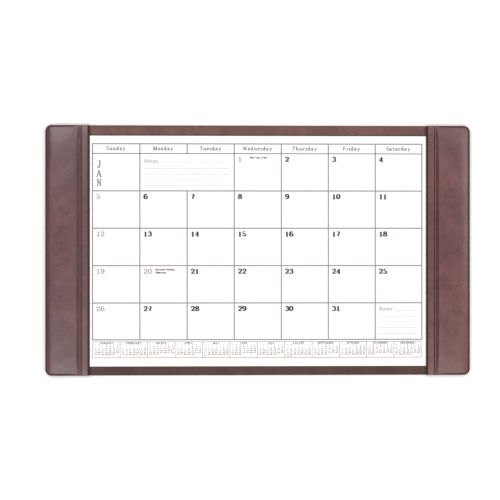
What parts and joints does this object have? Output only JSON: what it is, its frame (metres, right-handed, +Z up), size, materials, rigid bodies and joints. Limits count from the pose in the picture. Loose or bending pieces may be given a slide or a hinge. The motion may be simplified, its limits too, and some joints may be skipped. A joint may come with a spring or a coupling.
{
  "type": "desk pad calendar",
  "caption": "Leather desk pad with padded side rails whose flexible inner lips hold a tear-off monthly paper calendar.",
  "frame": {"origin": "middle of the footprint, on the desk", "axes": "+X along the width to the user's right, +Y away from the user, +Z up from the desk"},
  "size_m": [0.8636, 0.508, 0.016],
  "materials": {
    "leather": "satin",
    "felt": "matt napped",
    "hardboard": "raw",
    "greyboard": "raw",
    "foam": "open cell",
    "thread": "twisted",
    "lip_board": "raw",
    "chipboard": "raw",
    "paper": "uncoated",
    "padding_glue": "dried"
  },
  "bodies": {
    "pad": {"felt_backing": "felt", "base_board": "hardboard", "base_leather": "leather", "left_rail_spacer": "greyboard", "left_rail_core": "greyboard", "left_rail_padding": "foam", "left_rail_leather": "leather", "left_seam_thread": "thread", "right_rail_spacer": "greyboard", "right_rail_core": "greyboard", "right_rail_padding": "foam", "right_rail_leather": "leather", "right_seam_thread": "thread"},
    "left_lip": {"left_lip_leather": "leather", "left_lip_stiffener": "lip_board"},
    "right_lip": {"right_lip_leather": "leather", "right_lip_stiffener": "lip_board"},
    "calendar": {"calendar_backing": "chipboard", "pad_glue": "padding_glue", "sheet_02_february": "paper", "sheet_03_march": "paper", "sheet_04_april": "paper", "sheet_05_may": "paper", "sheet_06_june": "paper", "sheet_07_july": "paper", "sheet_08_august": "paper", "sheet_09_september": "paper", "sheet_10_october": "paper", "sheet_11_november": "paper", "sheet_12_december": "paper"},
    "january_sheet": {"sheet_01_january": "paper"}
  },
  "joints": [
    {"name": "left_lip_flex", "type": "hinge", "parent": "pad", "child": "left_lip", "pos_m": [-0.3588, 0, 0.0106], "axis": [0, -1, 0], "range_deg": [0, 20], "stiffness_Nm_per_rad": 0.02},
    {"name": "right_lip_flex", "type": "hinge", "parent": "pad", "child": "right_lip", "pos_m": [0.3588, 0, 0.0106], "axis": [0, 1, 0], "range_deg": [0, 20], "stiffness_Nm_per_rad": 0.02},
    {"name": "calendar_slide", "type": "slide", "parent": "pad", "child": "calendar", "axis": [0, -1, 0], "range_m": [-0.49, 0.49]},
    {"name": "january_tear_off", "type": "slide", "parent": "calendar", "child": "january_sheet", "axis": [0, -1, 0], "range_m": [0, 0.49]}
  ]
}
